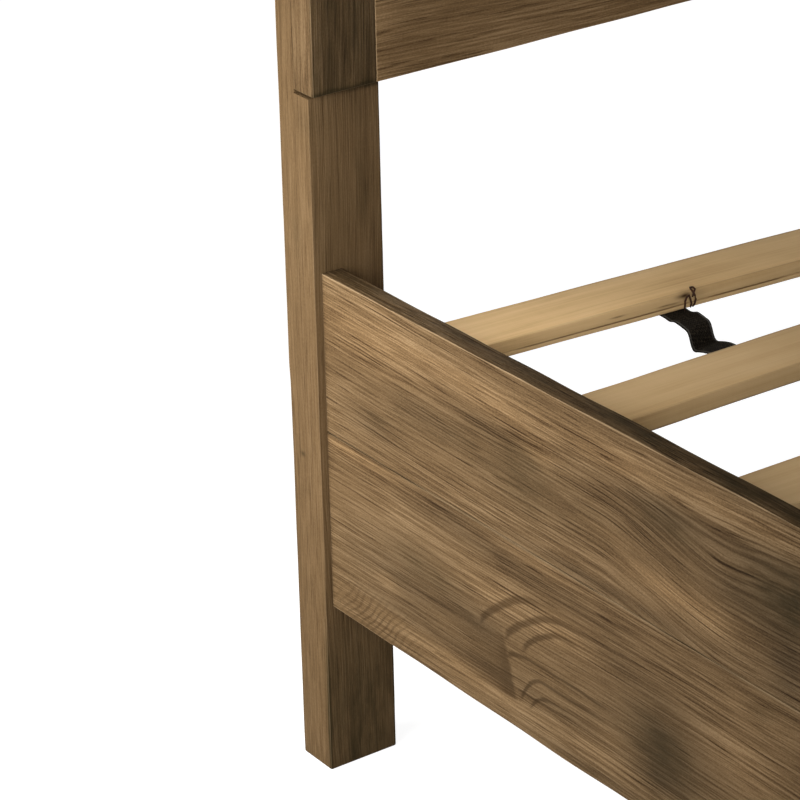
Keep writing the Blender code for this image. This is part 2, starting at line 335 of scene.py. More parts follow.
FLAME_STROKES = (
    # start y, highest z, rise, run, end y, half thickness
    (0.838, 0.26, 0.046, 0.08, 0.775, 0.0048),
    (0.808, 0.255, 0.04, 0.075, 0.722, 0.0044),
    (0.787, 0.243, 0.03, 0.052, 0.735, 0.0038),
    (0.806, 0.209, 0.008, 0.03, 0.7, 0.0028),
    (0.79, 0.1975, 0.027, 0.028, 0.7, 0.0032),
    (0.778, 0.186, 0.016, 0.022, 0.745, 0.0024),
)
FLAME_STRENGTH = 0.7
RIPPLE_PITCH = 0.0085


def flame_stroke(graph, y, z, start, highest, rise, run, end, thickness):
    """One dark stroke: it climbs across the grain from its start, then runs on along the grain and fades."""
    left = graph.less(1, graph.fit(y, start, start - run))
    path = graph.less(highest, graph.times(left, left, rise))
    reach = graph.fit(y, start, start - run, thickness * 1.5, thickness * 0.75)
    gap = graph.math("DIVIDE", graph.math("ABSOLUTE", graph.less(z, path)), reach)
    begins = graph.fade(y, start + 0.001, start - 0.006)
    ends = graph.fade(y, end - 0.03, end + 0.02)
    return graph.times(graph.fade(gap, 1, 0.25), begins, ends)


def flame_core(graph, grain, y, z, wavy_z):
    """The dark heart of the flames: a slanted edge toward the foot, and a fading one toward the head."""
    wavy_y = graph.add(y, centred_noise(graph, grain, 22, 300, 0.006))
    near = graph.fade(graph.add(wavy_y, graph.times(z, -0.3)), 0.7395, 0.7445)
    far = graph.add(graph.fade(wavy_y, 0.868, 0.812, 0.46), graph.fade(wavy_y, 0.818, 0.805, 0.22))
    bottom = graph.fade(graph.add(z, graph.times(y, 0.06)), 0.2155, 0.218)
    return graph.times(near, far, bottom, graph.fade(wavy_z, 0.232, 0.2))


def ripples(graph, place, grain, y, z):
    """Short slanted ripples low down beside the leg."""
    slope = graph.add(y, graph.times(z, 0.9), centred_noise(graph, grain, 30, 40, 0.016))
    wave = graph.math("SINE", graph.times(slope, 2 * math.pi / RIPPLE_PITCH))
    patch = graph.spot(place, (RAIL_FACE_X, 0.968, 0.16), (FACE_DEPTH, 0.05, 0.017))
    return graph.times(graph.fit(wave, 0, 0.9, 0, 0.55), patch)


def lower_rail_figure(graph, place, grain):
    """The rail's bottom board: nested flame shapes round a dark core, and ripples beside the leg."""
    y, z = graph.split(place)[1:3]
    wavy_z = graph.add(z, centred_noise(graph, grain, 16, 34, 0.006, 2),
                       centred_noise(graph, grain, 26, 420, 0.0022))
    strokes = 0
    for stroke in FLAME_STROKES:
        strokes = graph.math("MAXIMUM", flame_stroke(graph, y, wavy_z, *stroke), strokes)
    core = flame_core(graph, grain, y, z, wavy_z)
    flames = graph.math("MAXIMUM", graph.times(strokes, FLAME_STRENGTH), core)
    return graph.add(flames, ripples(graph, place, grain, y, z))


# -------- pine

PINE_DARK = (0.42, 0.262, 0.11)
PINE_MIDDLE = (0.585, 0.392, 0.188)
PINE_LIGHT = (0.68, 0.47, 0.245)
PINE_STREAK = (0.33, 0.19, 0.075)
# Dark lines along the slats' side faces: in a groove on odd slats, at the foot on even ones.
PINE_DARK_LINE = (0.085, 0.042, 0.014)
PINE_STAIN = (0.06, 0.03, 0.012)
SLAT_STAINS = (
    ((-0.5335, 0.9107, 0.38), (0.0045, 0.006, 0.0026), 0.8),
    ((-0.539, 0.9111, 0.3802), (0.005, 0.005, 0.0018), 0.5),
    ((-0.5524, 0.9121, 0.3759), (0.006, 0.006, 0.0006), 0.85),
    ((-0.544, 0.9115, 0.3756), (0.005, 0.006, 0.0007), 0.6),
    ((-0.596, 0.9156, 0.3774), (0.006, 0.006, 0.0007), 0.7),
    ((-0.525, 0.9101, 0.379), (0.012, 0.008, 0.005), 0.25),
)


def pine_dark_line(graph, grain, front, dark_line_height):
    """A dark line along a board's edges at the height dark_line_height, with gaps."""
    depth = graph.split(graph.attribute("seat"))[2]
    from_line = graph.math("ABSOLUTE", graph.less(depth, dark_line_height))
    gaps = graph.fit(graph.cloud(grain, 9, 0, 2, 0.7), 0.36, 0.52, 0.1, 1)
    return graph.times(graph.fade(from_line, 0.0009, 0.0003), front, graph.times(gaps, 0.75))


def pine(name):
    """Bare sawn softwood: pale, with soft brown rings, faint saw marks, darker streaks and dark side lines.

    Painted light makes the slats paler toward their ends; painted shade darkens their side faces.
    """
    graph = Graph(name)
    grain = graph.attribute("grain")
    place = graph.attribute("place")
    tone, dark_line_height = graph.split(graph.attribute("board"))[:2]
    fibres = grain_fibres(graph, grain, PINE_WAVES)
    rings = streaks(graph, fibres, 1.3, 62, 2, 0.3, 0.7)
    lines = streaks(graph, fibres, 5, 260, 2, 0.3, 0.7)
    hairs = streaks(graph, fibres, 16, 800, 1, 0.3, 0.7)
    dark_streaks = streaks(graph, fibres, 1.3, 90, 1, 0.68, 0.8)
    mottle = graph.fit(graph.cloud(grain, 7, 17, 3, 0.6), 0.3, 0.7)
    saw = graph.cloud(grain, 420, 9, 1, 0.5)
    level = graph.weigh((rings, 0.34), (lines, 0.16), (hairs, 0.12), (mottle, 0.34), (saw, 0.06))
    colour = graph.ramp(level, ((0.14, PINE_DARK), (0.5, PINE_MIDDLE), (0.88, PINE_LIGHT)))
    colour = graph.mix(graph.times(dark_streaks, 0.45), colour, PINE_STREAK)
    front = graph.fade(graph.split(graph.attribute("room"))[1], 0.003, 0.0012)
    colour = graph.mix(pine_dark_line(graph, grain, front, dark_line_height), colour, PINE_DARK_LINE)
    colour = graph.mix(smudge_and_shade_field(graph, place, grain, SLAT_STAINS), colour, PINE_STAIN)
    # Painted light: tan pales the slats toward their ends. Painted shade: shade darkens their side faces.
    from_middle = graph.math("ABSOLUTE", graph.split(place)[0])
    tan = graph.fit(from_middle, 0.42, 0.78, 0.79, 1.25)
    shade = graph.fit(from_middle, 0.58, 0.74, 0.24, 0.06)
    tan = graph.less(tan, graph.times(front, shade))
    colour = graph.dim(graph.dim(colour, tan), tone)
    normal = graph.bump(graph.weigh((lines, 0.35), (hairs, 0.5), (saw, 0.35)), 0.3, 0.0005)
    return graph.finish(colour, graph.fit(level, 0.2, 0.9, 0.78, 0.66), normal, specular=0.06)


# -------- boards


CORNER_STEPS = 3


def rounded_ring(low, high, radius, cells, shape, groove=None):
    """A rounded rectangle in (v, w), anticlockwise, with the same number of points whatever its size.

    shape(corner) gives each corner's own radius factor. groove is (fraction down, width, depth) on the low-v
    side, for a line cut along that face.
    """
    (v0, w0), (v1, w1) = low, high
    corners = ((v1, w0, -90), (v1, w1, 0), (v0, w1, 90), (v0, w0, 180))
    arcs = []
    for index, (cv, cw, start) in enumerate(corners):
        own = radius * shape(index)
        middle_v = cv - own if cv == v1 else cv + own
        middle_w = cw - own if cw == w1 else cw + own
        arc = []
        for step in range(CORNER_STEPS + 1):
            angle = math.radians(start + 90 * step / CORNER_STEPS)
            arc.append((middle_v + own * math.cos(angle), middle_w + own * math.sin(angle)))
        arcs.append(arc)
    points = []
    for index, arc in enumerate(arcs):
        points += arc
        begin, target = arc[-1], arcs[(index + 1) % 4][0]
        if index == 2 and groove is not None:
            fraction, width, depth = groove
            cut = w1 - (w1 - w0) * fraction
            points += [(v0, cut + width), (v0 + depth * 0.3, cut + width / 2), (v0 + depth, cut),
                       (v0 + depth * 0.3, cut - width / 2), (v0, cut - width)]
            continue
        count = cells[0] if index in (1, 3) else cells[1]
        for step in range(1, count):
            part = step / count
            points.append(tuple(begin[axis] + (target[axis] - begin[axis]) * part for axis in range(2)))
    return points


def stations(start, finish, radius, pitch):
    """Places along a board as (place, inset): a rounded end, even steps, and the other rounded end."""
    curve = []
    for step in range(CORNER_STEPS + 1):
        angle = math.pi / 2 * step / CORNER_STEPS
        curve.append((radius * (1 - math.cos(angle)), radius * (1 - math.sin(angle))))
    straight = finish - start - 2 * radius
    count = max(2, round(straight / pitch))
    near = [(start + advance, inset) for advance, inset in curve]
    inner = [(start + radius + straight * step / count, 0) for step in range(1, count)]
    far = [(finish - advance, inset) for advance, inset in reversed(curve)]
    return near + inner + far


def add_object(name, data):
    thing = bpy.data.objects.new(name, data)
    bpy.context.scene.collection.objects.link(thing)
    return thing


def add_mesh(name, vertices, faces, material, attributes):
    """Adds a smooth mesh. Each attribute is a function of the point, or a list with one value per point."""
    mesh = bpy.data.meshes.new(name)
    mesh.from_pydata(vertices, [], faces)
    mesh.materials.append(material)
    mesh.shade_smooth()
    for label, source in attributes.items():
        layer = mesh.attributes.new(label, "FLOAT_VECTOR", "POINT")
        values = source if isinstance(source, list) else [source(Vector(point)) for point in vertices]
        for index, value in enumerate(values):
            layer.data[index].vector = value
    return add_object(name, mesh)


def loft_faces(rows, count, base=0):
    """A closed tube over rows of count points: one end, its sides and the other end."""
    faces = [tuple(base + index for index in reversed(range(count)))]
    for row in range(rows - 1):
        here = base + row * count
        for index in range(count):
            after = (index + 1) % count
            faces.append((here + index, here + after, here + count + after, here + count + index))
    faces.append(tuple(base + (rows - 1) * count + index for index in range(count)))
    return faces


def skin(name, rings, attributes, material, smooth_angle=38):
    """Skins a row of rings, and keeps edges sharper than the angle."""
    vertices = [point for ring in rings for point in ring]
    piece = add_mesh(name, vertices, loft_faces(len(rings), len(rings[0])), material, attributes)
    piece.data.set_sharp_from_angle(angle=math.radians(smooth_angle))
    return piece


EDGE_UNEVEN = 0.35
UNIT = {"X": Vector((1, 0, 0)), "Y": Vector((0, 1, 0)), "Z": Vector((0, 0, 1))}


def lay_matrix(grain_axis, width_axis, origin):
    """Puts local X along the grain and local Y across the board's width."""
    along, across = UNIT[grain_axis], UNIT[width_axis]
    matrix = Matrix((along, across, along.cross(across))).transposed().to_4x4()
    matrix.translation = origin
    return matrix


def span_of(points):
    """The lowest and the highest corner round some points."""
    sides = list(zip(*points))
    return Vector([min(side) for side in sides]), Vector([max(side) for side in sides])


def ring_maker(lo, hi, radius, cells, seed, rough, groove):
    """Gives a function that draws a board's cross-section at a place, with that place's wear and wobble."""
    def ring_at(place, inset, low_w, high_w):
        """One cross-section. inset narrows its width; low_w and high_w are its two faces."""
        def shape(corner):
            worn = noise.noise(Vector((place * 9, corner * 7.7, seed)))
            fine = noise.noise(Vector((place * 60, corner * 3.1, seed)))
            return 1 + EDGE_UNEVEN * worn + 0.5 * EDGE_UNEVEN * fine

        cut = groove
        if groove is not None:
            change = 0.55 + 0.9 * noise.noise(Vector((place * 11, 2, seed)))
            cut = (groove[0] + 0.02 * noise.noise(Vector((place * 4, 5, seed))), groove[1],
                   groove[2] * max(0.1, change))
        ring = rounded_ring((lo.y + inset, low_w), (hi.y - inset, high_w), radius, cells, shape, cut)
        result = []
        for v, w in ring:
            wobble = 1 - rough * noise.noise(Vector((place * 14, v * 60, seed))) / hi.z
            result.append((place, v * wobble, w * wobble))
        return result

    return ring_at


def wood_board(node, material, grain_axis, width_axis, radius=0.002, pitch=0.02, cell=0.02,
               pith=(0.3, 0.12), tone=1, second=0, rough=0.00012, span=None, turn=0,
               shoulder=None, groove=None, body="frame"):
    """Replaces a CAD board with a lofted one.

    pith is where the tree's heart lies, across and through. second is a number the material reads.
    shoulder is (height, front, step height, step) for a post that is notched for the headboard.
    """
    low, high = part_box(node) if span is None else span
    middle = (low + high) / 2
    matrix = lay_matrix(grain_axis, width_axis, middle)
    inverse = matrix.inverted()
    lo, hi = span_of((inverse @ low, inverse @ high))
    seed = random.Random(node).uniform(0, 60)
    cells = (max(2, round((hi.y - lo.y) / cell)), max(2, round((hi.z - lo.z) / cell)))
    if turn:
        spin = Matrix.Rotation(turn, 4, "Z")
        matrix = Matrix.Translation(middle) @ spin @ Matrix.Translation(-middle) @ matrix
    ring_at = ring_maker(lo, hi, radius, cells, seed, rough, groove)
    if shoulder is None:
        rings = [ring_at(place, inset, lo.z + inset, hi.z - inset)
                 for place, inset in stations(lo.x, hi.x, radius, pitch)]
    else:
        rings = shouldered_rings(ring_at, inverse, middle, lo, hi, radius, pitch, shoulder)
    half = (hi - lo) / 2
    attributes = {
        "grain": lambda point: Vector((point.x + seed, point.y + pith[0], point.z + pith[1])),
        "place": lambda point: matrix @ point,
        "room": lambda point: Vector([half[axis] - abs(point[axis]) for axis in range(3)]),
        "seat": lambda point: point,
        "board": lambda point: Vector((tone, second, 0)),
    }
    piece = skin(f"{node}_wood", rings, attributes, material)
    piece.matrix_world = matrix
    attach(piece, body)
    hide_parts(node)
    return piece


def shouldered_rings(ring_at, inverse, middle, lo, hi, radius, pitch, shoulder):
    """A post in one loft: full depth up to the shoulder, then only its back part, a hair deeper."""
    height, front, step_height, step = shoulder
    shelf = height - middle.z
    front_w = (inverse @ Vector((middle.x, front, middle.z))).z
    rings = []
    for place, inset in stations(lo.x, shelf, radius, pitch):
        deeper = step if place > step_height - middle.z else 0
        foot = inset if place < lo.x / 2 else 0
        rings.append(ring_at(place, foot, lo.z + inset, hi.z - foot + deeper))
    for place, inset in stations(shelf, hi.x, radius, pitch):
        if place > shelf + 0.0001:
            top = inset if place > shelf + radius else 0
            rings.append(ring_at(place, top, front_w + top, hi.z - top + step))
    return rings


# Painted shade on top of the left rail, as (centre, size, strength): all along it, and deeper around y =
# 0.45.
RAIL_TOP_PAINTED_SHADE = (
    ((-0.777, 0, 0.4275), (0.0105, 4, 0.0014), 0.68),
    ((-0.777, 0.45, 0.4275), (0.012, 0.2, 0.0014), 0.75),
)
# Marks on the left rail's outer face: (y, z, half length, half height) in millimetres, and a strength.
RAIL_SMUDGES_UPPER = (
    (497, 372, 46, 26, 0.95),
    (628, 380, 34, 13, 0.42),
    (787, 356, 26, 24, 0.3),
    (800, 350, 170, 26, 0.24),
    (0, 296.6, 4000, 0.9, 0.8),
)
RAIL_SMUDGES_LOWER = (
    (905, 232, 42, 14, 0.38),
    (630, 203, 34, 30, 0.62),
    (780, 196, 140, 20, 0.1),
    (0, 296.2, 4000, 0.9, 0.55),
)
RAIL_SHADES_UPPER = (
    (975, 394, 75, 24, 0.4),
    (800, 402, 150, 10, 0.3),
    (805, 391, 45, 8, 0.4),
    (768, 377, 22, 10, 0.4),
    (540, 412, 50, 8, 0.26),
    (590, 411, 140, 11, 0.24),
    (665, 402, 40, 10, 0.24),
    (545, 390, 40, 8, -0.18),
    (650, 390, 35, 8, -0.2),
    (965, 324, 35, 10, -0.26),
    (905, 357, 50, 12, -0.24),
    (695, 303, 80, 5, -0.34),
    (620, 330, 55, 12, 0.56),
    (580, 322, 16, 8, 0.3),
    (685, 347, 30, 6, 0.28),
    (620, 382, 50, 14, -0.16),
    (548, 358, 34, 16, -0.36),
    (505, 325, 25, 30, -0.45),
    (825, 376, 35, 10, -0.2),
)
RAIL_SHADES_LOWER = (
    (995, 291, 50, 6, 0.4),
    (860, 281, 70, 10, -0.3),
    (870, 291, 35, 5, -0.18),
    (770, 291, 45, 6, 0.2),
    (750, 275, 80, 10, -0.18),
    (540, 275, 50, 12, 0.24),
    (820, 245, 45, 12, 0.2),
    (745, 246, 40, 10, 0.28),
    (925, 212, 85, 32, -0.32),
    (952, 199, 16, 7, 0.26),
    (842, 214, 30, 14, -0.22),
    (780, 181, 170, 7, -0.24),
    (667, 252, 30, 14, -0.2),
    (640, 216, 110, 40, -0.14),
    (634, 200, 22, 32, -0.36),
    (600, 195, 26, 20, -0.2),
    (685, 187, 16, 8, 0.24),
    (545, 235, 40, 25, 0.34),
    (700, 173, 50, 10, 0.2),
    (865, 166, 85, 9, 0.22),
    (700, 152, 60, 5, -0.28),
)
# The leg's marks, as (centre, size, strength); the last is painted shade low on its front face, under the
# rail.
POST_SMUDGES_AND_SHADE = (
    ((POST_FACE_X, 1.052, 0.271), (0.02, 0.003, 0.0022), 0.75),
    ((POST_FACE_X, 1.049, 0.449), (0.02, 0.006, 0.02), 0.26),
    ((POST_MIDDLE_X, 1.027, 0.45), (0.05, 0.006, 0.06), 0.16),
    ((POST_FACE_X, 1.035, 0.545), (0.02, 0.01, 0.012), 0.25),
    ((POST_MIDDLE_X, 1.056, 0.78), (0.05, 0.03, 0.32), 0.22),
    ((POST_MIDDLE_X, 1.027, 0.03), (0.05, 0.006, 0.12), 0.8),
)


def face_marks(rows):
    """Turns rows of marks on the left rail's outer face into (centre, size, strength)."""
    return tuple(((RAIL_FACE_X, y * MM, z * MM), (FACE_DEPTH, along * MM, up * MM), strength)
                 for y, z, along, up, strength in rows)


def post_marks_and_shade():
    """The left head leg's marks, with dark lines at two corners and a painted shadow under the stile."""
    low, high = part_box("head_leg_left")
    lines = (
        ((low.x + 0.0006, low.y + 0.0004, 0.04), (0.0012, 0.0014, 0.062), 0.85),
        ((high.x, low.y, 0.3), (0.0012, 0.0016, 3), 0.85),
        # Painted shadow on the leg's front face, just under the stile.
        ((high.x - 0.008, low.y, 0.564), (0.03, 0.004, 0.0018), 0.9),
    )
    return POST_SMUDGES_AND_SHADE + lines


def stile_smudges():
    """Both stiles have a front face darker than their sides, and darkest at its foot."""
    marks = []
    for side in ("left", "right"):
        low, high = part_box(f"headboard_stile_{side}")
        middle_x = (low.x + high.x) / 2
        marks.append(((middle_x, low.y, (low.z + high.z) / 2), (0.06, 0.0022, 1.2), 0.66))
        marks.append(((middle_x, low.y, low.z), (0.06, 0.005, 0.003), 0.8))
    return marks


def build_oak_boards():
    plain = oak("brushed_oak", contrast=0.8)
    stile = oak("brushed_oak_stile", stile_smudges(), contrast=0.8, wear=0.3)
    post = oak("brushed_oak_post", post_marks_and_shade(), brush=0.6, contrast=0.5, wear=0.25)
    upper = oak("brushed_oak_rail_upper", RAIL_TOP_PAINTED_SHADE + face_marks(RAIL_SMUDGES_UPPER),
                RAIL_SHADES_UPPER, bend=upper_rail_bend, brush=0.85, wear=0.8)
    lower = oak("brushed_oak_rail_lower", face_marks(RAIL_SMUDGES_LOWER),
                RAIL_SHADES_LOWER, figure=lower_rail_figure, brush=0.7, contrast=0.92, wear=0.45)
    rail = {"side_rail_left_upper": upper, "side_rail_left_lower": lower}
    stile_low, stile_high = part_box("headboard_stile_left")
    shoulder = (stile_low.z - STILE_GAP, stile_high.y + FIT_GAP, POST_STEP_HEIGHT, POST_STEP)
    for side in ("left", "right"):
        for end in ("head", "foot"):
            wood_board(f"{end}_leg_{side}", post, "Z", "X", 0.0012, 0.015,
                       shoulder=shoulder if end == "head" else None)
        wood_board(f"headboard_stile_{side}", stile, "Z", "X", 0.0012, 0.015, tone=0.84)
        wood_board(f"headboard_batten_{side}", plain, "Z", "X")
        for course in ("upper", "lower"):
            node = f"side_rail_{side}_{course}"
            wood_board(node, rail.get(node, plain), "Y", "Z", 0.0007, 0.012, 0.015)
    for number in range(1, 5):
        wood_board(f"headboard_plank_{number}", plain, "X", "Z", 0.001, tone=1.18)
    for course in ("upper", "lower"):
        wood_board(f"foot_board_{course}", plain, "X", "Z", 0.0014)
    wood_board("headboard_cap", plain, "X", "Y", 0.003)


def slat_lie(node):
    """A slat's middle, its turn from square, and its size, read from the two ends of its mesh."""
    points = [vertex.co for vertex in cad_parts[node].data.vertices]
    left = [point for point in points if point.x < 0]
    right = [point for point in points if point.x > 0]
    run = sum(right, Vector()) / len(right) - sum(left, Vector()) / len(left)
    turn = math.atan2(run.y, run.x)
    middle = sum(points, Vector()) / len(points)
    square = Matrix.Rotation(-turn, 3, "Z")
    low, high = span_of([square @ (point - middle) for point in points])
    return middle, turn, (high - low) / 2


# Painted light on the first three slats: palest nearest the head, darker toward the foot.
SLAT_PAINTED_LIGHT = (1.2, 0.87, 0.79)
# A slat's groove: (fraction down, width, depth), and where its dark line or the foot's lies.
SLAT_GROOVE = (0.71, 0.0011, 0.0009)
GROOVE_LINE = -0.003
FOOT_LINE = -0.0064
# Far above any board, so that no line is drawn.
NO_LINE = 9


def build_slats(material):
    """Every slat has a dark line along its edges: in a groove or, on every other slat, at the foot."""
    for number, node in enumerate(SLATS, start=1):
        grooved = number % 2 == 1
        # The first slats' tones are painted light; the others' differ at random.
        tone = SLAT_PAINTED_LIGHT[number - 1] if number <= len(SLAT_PAINTED_LIGHT) else 0.95 + 0.09 * math.sin(number * 1.7)
        middle, turn, half = slat_lie(node)
        wood_board(node, material, "X", "Y", 0.0009, 0.02, 0.01, body="slat_roll",
                   pith=(0.03 * math.sin(number * 2.3), 0.05 + 0.02 * math.cos(number)),
                   tone=tone, second=GROOVE_LINE if grooved else FOOT_LINE,
                   rough=0.0002, span=(middle - half, middle + half), turn=turn,
                   groove=SLAT_GROOVE if grooved else None)


def build_pine_boards():
    material = pine("sawn_pine")
    build_slats(material)
    for node in ("slat_ledge_left", "slat_ledge_right", "centre_beam"):
        wood_board(node, material, "Y", "Z", 0.0015, second=NO_LINE)
    for number in range(1, 4):
        wood_board(f"centre_leg_{number}", material, "Z", "X", 0.0015, second=NO_LINE)


# -------- webbing and staples

STRAP_WIDTH = 0.0254
STRAP_THICK = 0.0012
STRAP_PITCH = 0.0025
STRAP_CELLS = 8
STRAP_FOLD_SKEW = 0.17
STRAP_SKEW = 0.1
STRAP_HANG = 0.0012
STRAP_X = 0.552
# The left strap's folds between the first two slats: (part of the way across the gap, height).
STRAP_FIRST_GAP = (
    (0, 0), (0.08, -0.0004), (0.15, 0.003), (0.26, 0.0028), (0.372, 0.0028), (0.405, -0.0036),
    (0.428, -0.0076), (0.455, -0.0092), (0.49, -0.0091), (0.565, -0.0058), (0.75, -0.0003), (1, 0),
)
# Where the left strap goes in under its first slats, and where it comes out.
STRAP_LEFT_RUN = ((-0.5425, -0.5425), (-0.5635, -0.5345), (-0.535, -0.54))


def webbing(name):
    """Coarse black webbing: crossing yarns with pale flecks, and a firmer selvedge line at each edge."""
    graph = Graph(name)
    cloth = graph.attribute("cloth")
    length, width = graph.split(cloth)[:2]
    rib = graph.math("SINE", graph.times(width, 2 * math.pi / 0.0024))
    pick = graph.math("SINE", graph.add(graph.times(length, 2 * math.pi / 0.003), graph.times(rib, 0.7)))
    weave = graph.times(rib, pick)
    flecks = graph.fit(graph.noise(graph.stretch(cloth, (340, 480, 1)), 2, 0.7), 0.52, 0.68)
    fuzz = graph.noise(graph.stretch(cloth, (90, 160, 1)), 3, 0.6)
    edge = graph.math("ABSOLUTE", graph.less(graph.math("ABSOLUTE", width), 0.0112))
    selvedge = graph.fade(edge, 0.0009, 0.0004)
    shine = graph.fit(weave, -1, 1)
    colour = graph.ramp(shine, ((0.1, (0.002, 0.0014, 0.0009)), (0.9, (0.021, 0.0165, 0.011))))
    colour = graph.mix(graph.times(flecks, 0.6), colour, (0.055, 0.042, 0.027))
    colour = graph.mix(graph.times(selvedge, 0.6), colour, (0.105, 0.098, 0.088))
    normal = graph.bump(graph.weigh((weave, 0.5), (fuzz, 0.4), (selvedge, 0.4)), 0.8, 0.0005)
    return graph.finish(colour, graph.fit(fuzz, 0.3, 0.7, 0.8, 0.95), normal, specular=0.05)


def rusty_wire(name):
    graph = Graph(name)
    place = graph.attribute("grain")
    rust = graph.fit(graph.cloud(place, 900, 900, 3, 0.65), 0.35, 0.62)
    colour = graph.mix(rust, (0.022, 0.014, 0.009), (0.062, 0.021, 0.008))
    roughness = graph.fit(rust, 0, 1, 0.55, 0.9)
    return graph.finish(colour, roughness, graph.bump(rust, 0.6, 0.0002), metallic=0.2, specular=0.2)


def strap_run(side, number, drift):
    """The X at which a strap goes in under a slat, and the X at which it comes out."""
    if side == "left" and number < len(STRAP_LEFT_RUN):
        return STRAP_LEFT_RUN[number]
    x = (-STRAP_X if side == "left" else STRAP_X) + drift.uniform(-0.004, 0.004)
    return x, x


def gap_shape(side, number, drift):
    """The strap's height at parts of the way across the gap after a slat."""
    if side == "left" and number == 0:
        return STRAP_FIRST_GAP
    slack = 0.0065 if number < 2 else drift.uniform(0.0015, 0.0035)
    lean = drift.uniform(0.4, 0.7)
    return [(step / 8, -slack * math.sin(math.pi * (step / 8) ** lean) ** 2) for step in range(9)]


def strap_path(side, lies):
    """Points down the middle of one strap, as (x, y, z): flat under every slat, slack and wavy between."""
    underside = lies[0][0].z - lies[0][2].z - STRAP_THICK / 2 - 0.0002
    drift = random.Random(f"strap {side}")
    points = []
    for number, (middle, turn, half) in enumerate(lies):
        enters, leaves = strap_run(side, number, drift)
        edge = half.y + 0.001
        top = middle.y + (enters - middle.x) * math.tan(turn) + (edge if number else edge - 0.012)
        bottom = middle.y + (leaves - middle.x) * math.tan(turn) - edge
        if points:
            last_x, last_y = points[-1][:2]
            for part, rise in gap_shape(side, number - 1, drift)[1:-1]:
                points.append((last_x + (enters - last_x) * part, last_y + (top - last_y) * part,
                               underside + rise))
        points += [(enters, top, underside), (leaves, bottom, underside)]
    return points


def smooth_path(points, pitch):
    """Resamples a path at even steps, after rounding its corners."""
    for _ in range(2):
        softer = [points[0]]
        for first, second in zip(points, points[1:]):
            a, b = Vector(first), Vector(second)
            softer += [tuple(a.lerp(b, 0.25)), tuple(a.lerp(b, 0.75))]
        points = softer + [points[-1]]
    even = [Vector(points[0])]
    for first, second in zip(points, points[1:]):
        a, b = Vector(first), Vector(second)
        while (b - even[-1]).length > pitch and (a - b).length > 0:
            even.append(even[-1] + (b - even[-1]).normalized() * pitch)
    even.append(Vector(points[-1]))
    return even


def height_at(path, y, index):
    """The path's height where it crosses y, looked up near one of its points."""
    while index + 1 < len(path) and path[index + 1].y > y:
        index += 1
    while index > 0 and path[index].y < y:
        index -= 1
    after = min(index + 1, len(path) - 1)
    span = path[index].y - path[after].y
    part = 0 if span < 1e-9 else (path[index].y - y) / span
    return path[index].z + (path[after].z - path[index].z) * min(1, max(0, part))


def hang_below(first_slat, point, across):
    """How far a strap's right half hangs away from the first slat, beside the burst staple."""
    middle, turn, half = first_slat
    front = middle.y - half.y + (point.x - middle.x) * math.tan(turn)
    near = max(0, 1 - abs(point.y - front + 0.002) / 0.014)
    return STRAP_HANG * near * max(0, 2 * across / STRAP_WIDTH)


def build_strap(side, lies, material):
    """Builds one strap, with its (along, across) place in the cloth on every point. Returns its path."""
    path = smooth_path(strap_path(side, lies), STRAP_PITCH)
    folds_end = lies[1][0].y
    rings, cloth = [], []
    travelled = 0
    for index, point in enumerate(path):
        if index:
            travelled += (point - path[index - 1]).length
        top, bottom, places = [], [], []
        for step in range(STRAP_CELLS + 1):
            across = STRAP_WIDTH * (step / STRAP_CELLS - 0.5)
            skew = STRAP_FOLD_SKEW if point.y > folds_end and side == "left" else STRAP_SKEW
            z = height_at(path, point.y - skew * across, index)
            if side == "left":
                z -= hang_below(lies[0], point, across)
            ragged = 0.00025 * noise.noise(Vector((travelled * 300, step * 3, len(side))))
            thin = STRAP_THICK / 2 * (0.55 if step in (0, STRAP_CELLS) else 1)
            top.append((point.x + across, point.y, z + thin + ragged))
            bottom.append((point.x + across, point.y, z - thin + ragged))
            places.append((travelled, across, 0))
        rings.append(top + bottom[::-1])
        cloth += places + places[::-1]
    strap = skin(f"slat_strap_{side}_webbing", rings, {"cloth": cloth}, material, 60)
    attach(strap, "slat_roll")
    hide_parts(f"slat_strap_{side}")
    sheet_length = sum((b - a).length for a, b in zip(path, path[1:]))
    return path


WIRE_SIDES = 7
STAPLE_RADIUS = 0.0005
STAPLE_HALF = 0.0045
STAPLE_SPREAD = 0.0055
STAPLE_DEPTH = 0.004
BURST_RADIUS = 0.0008


def tube_rings(path, radius):
    """The points round a bent wire, ring by ring, a little narrower at its ends."""
    points = []
    last = len(path) - 1
    for index, point in enumerate(path):
        ahead = path[min(index + 1, last)] - path[max(index - 1, 0)]
        turn = ahead.to_track_quat("X", "Z").to_matrix()
        own = radius * (0.75 if index in (0, last) else 1)
        for side in range(WIRE_SIDES):
            angle = 2 * math.pi * side / WIRE_SIDES
            points.append(point + turn @ Vector((0, own * math.cos(angle), own * math.sin(angle))))
    return points


def bent_wire(name, paths, radius, material):
    """Round wires swept along paths and joined into one piece that rides on the slats."""
    vertices, faces = [], []
    for path in paths:
        faces += loft_faces(len(path), WIRE_SIDES, len(vertices))
        vertices += tube_rings([Vector(point) for point in path], radius)
    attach(add_mesh(name, vertices, faces, material, {"grain": vertices}), "slat_roll")


